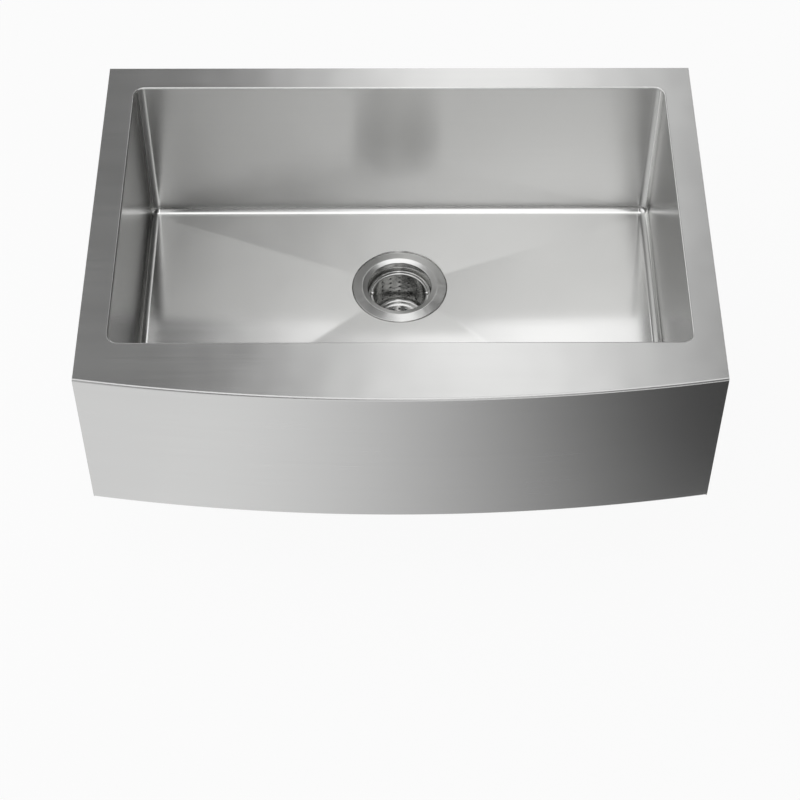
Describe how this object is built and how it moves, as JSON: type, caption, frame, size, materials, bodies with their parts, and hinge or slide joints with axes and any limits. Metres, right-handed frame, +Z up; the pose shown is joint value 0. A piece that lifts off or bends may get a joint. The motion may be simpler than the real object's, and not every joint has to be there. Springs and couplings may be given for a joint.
{
  "type": "farmhouse apron front sink",
  "caption": "Stainless steel farmhouse kitchen sink with a bowed apron front, a creased floor and a fitted strainer with a lift-out basket.",
  "frame": {"origin": "middle of the rear ledge's underside, the plane on which the cabinet carries the sink", "axes": "+Z up out of the bowl, -Y towards the user and the apron, +X to the user's right"},
  "size_m": [0.762, 0.56, 0.3655],
  "materials": {
    "sink_steel": "satin brushed stainless steel",
    "strainer_steel": "fine satin stainless steel",
    "bright_steel": "polished stainless steel",
    "wire_steel": "electropolished wire",
    "black_rubber": "matte black rubber",
    "damping_rubber": "matte dark grey damping pad",
    "green_plastic": "moulded grey-green plastic"
  },
  "bodies": {
    "sink": {"back_wall": "sink_steel", "front_wall": "sink_steel", "left_wall": "sink_steel", "right_wall": "sink_steel", "wall_corners": "sink_steel", "back_cove": "sink_steel", "front_cove": "sink_steel", "left_cove": "sink_steel", "right_cove": "sink_steel", "cove_corners": "sink_steel", "creased_floor": "sink_steel", "drain_seat": "sink_steel", "rear_ledge": "sink_steel", "left_ledge": "sink_steel", "right_ledge": "sink_steel", "front_ledge": "sink_steel", "apron_front": "sink_steel", "floor_pads": "damping_rubber", "back_pad": "damping_rubber", "side_pads": "damping_rubber", "front_pad": "damping_rubber", "strainer_body": "strainer_steel", "flange_gasket": "black_rubber", "sink_washer": "black_rubber", "support_shell": "bright_steel", "outlet_tail": "green_plastic", "tail_washer": "black_rubber", "lock_nut": "green_plastic"},
    "basket": {"basket_wall": "strainer_steel", "basket_floor": "bright_steel", "basket_rim": "bright_steel"},
    "bail": {"bail": "wire_steel"}
  },
  "joints": [
    {"name": "basket_lift", "type": "slide", "parent": "sink", "child": "basket", "axis": [0, 0, 1], "range_m": [0, 0.32]},
    {"name": "bail_swing", "type": "hinge", "parent": "basket", "child": "bail", "pos_m": [0, -0.156, -0.2466], "axis": [1, 0, 0], "range_deg": [0, 180]}
  ]
}
